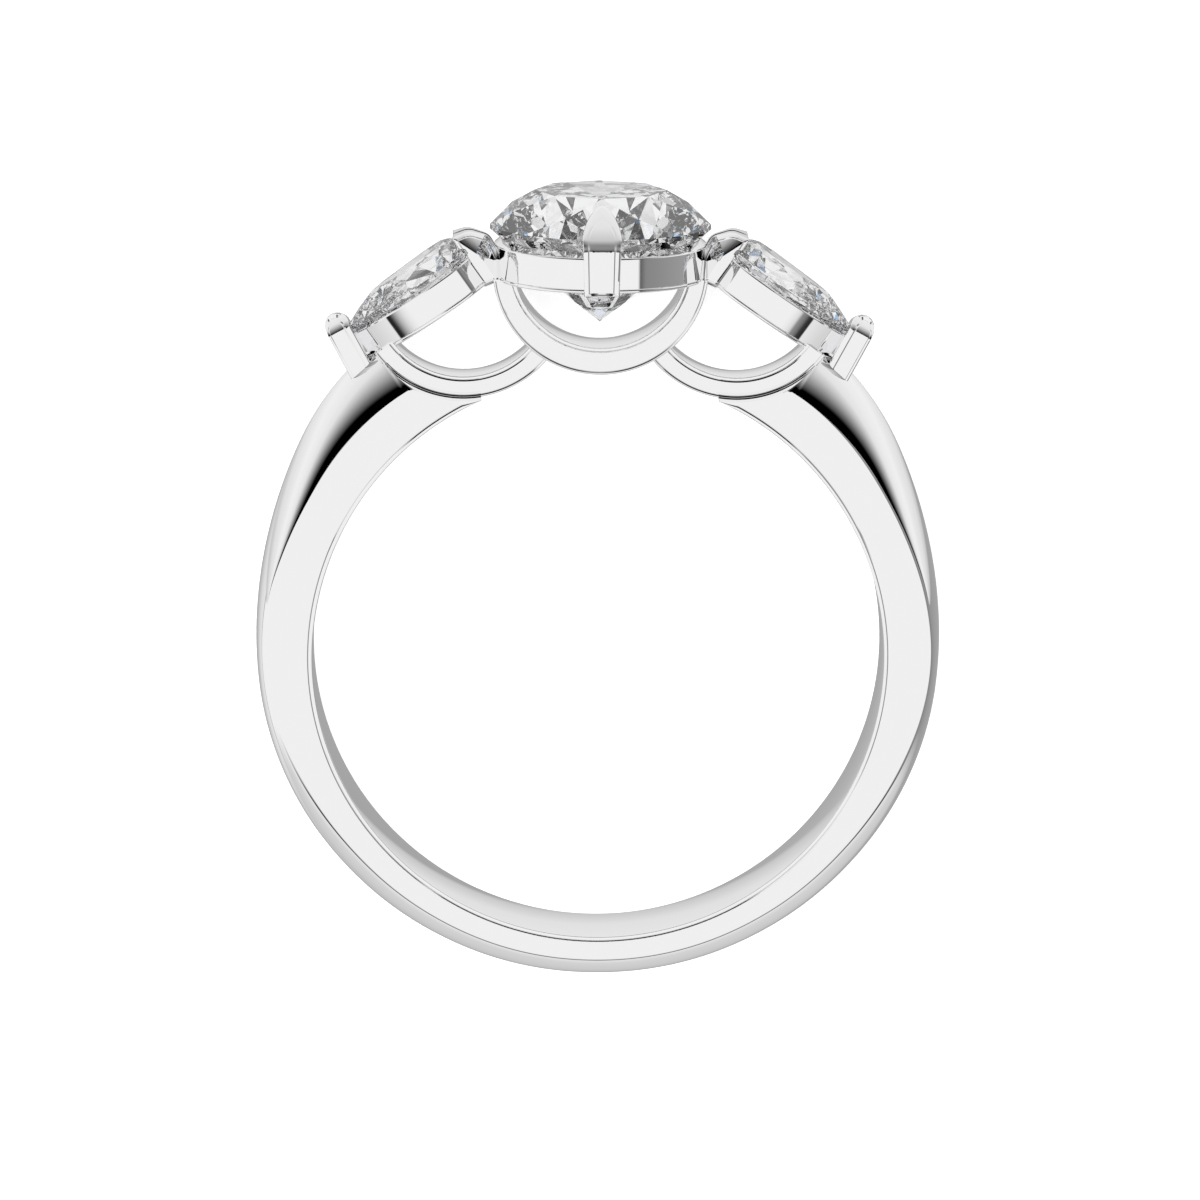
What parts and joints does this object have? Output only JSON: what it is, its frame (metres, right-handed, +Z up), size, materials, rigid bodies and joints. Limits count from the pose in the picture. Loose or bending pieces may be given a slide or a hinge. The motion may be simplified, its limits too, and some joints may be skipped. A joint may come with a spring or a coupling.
{
  "type": "three-stone engagement ring",
  "caption": "Polished white metal ring with a domed band, a round stone over an open arch and a leaning pear stone in claws on each side, lying on its side.",
  "frame": {"origin": "on the surface that the ring lies on, under the middle of its bounding box", "axes": "+Z up, +Y from the bottom of the band towards the stones, +X to the right of someone who looks down at the ring's front with the stones away from them"},
  "size_m": [0.0198, 0.0231, 0.007],
  "materials": {
    "white_metal": "high polish white gold",
    "stone": "clear faceted stone"
  },
  "bodies": {
    "root": {"mounting": "white_metal", "centre_stone": "stone", "left_stone": "stone", "right_stone": "stone"}
  },
  "joints": []
}
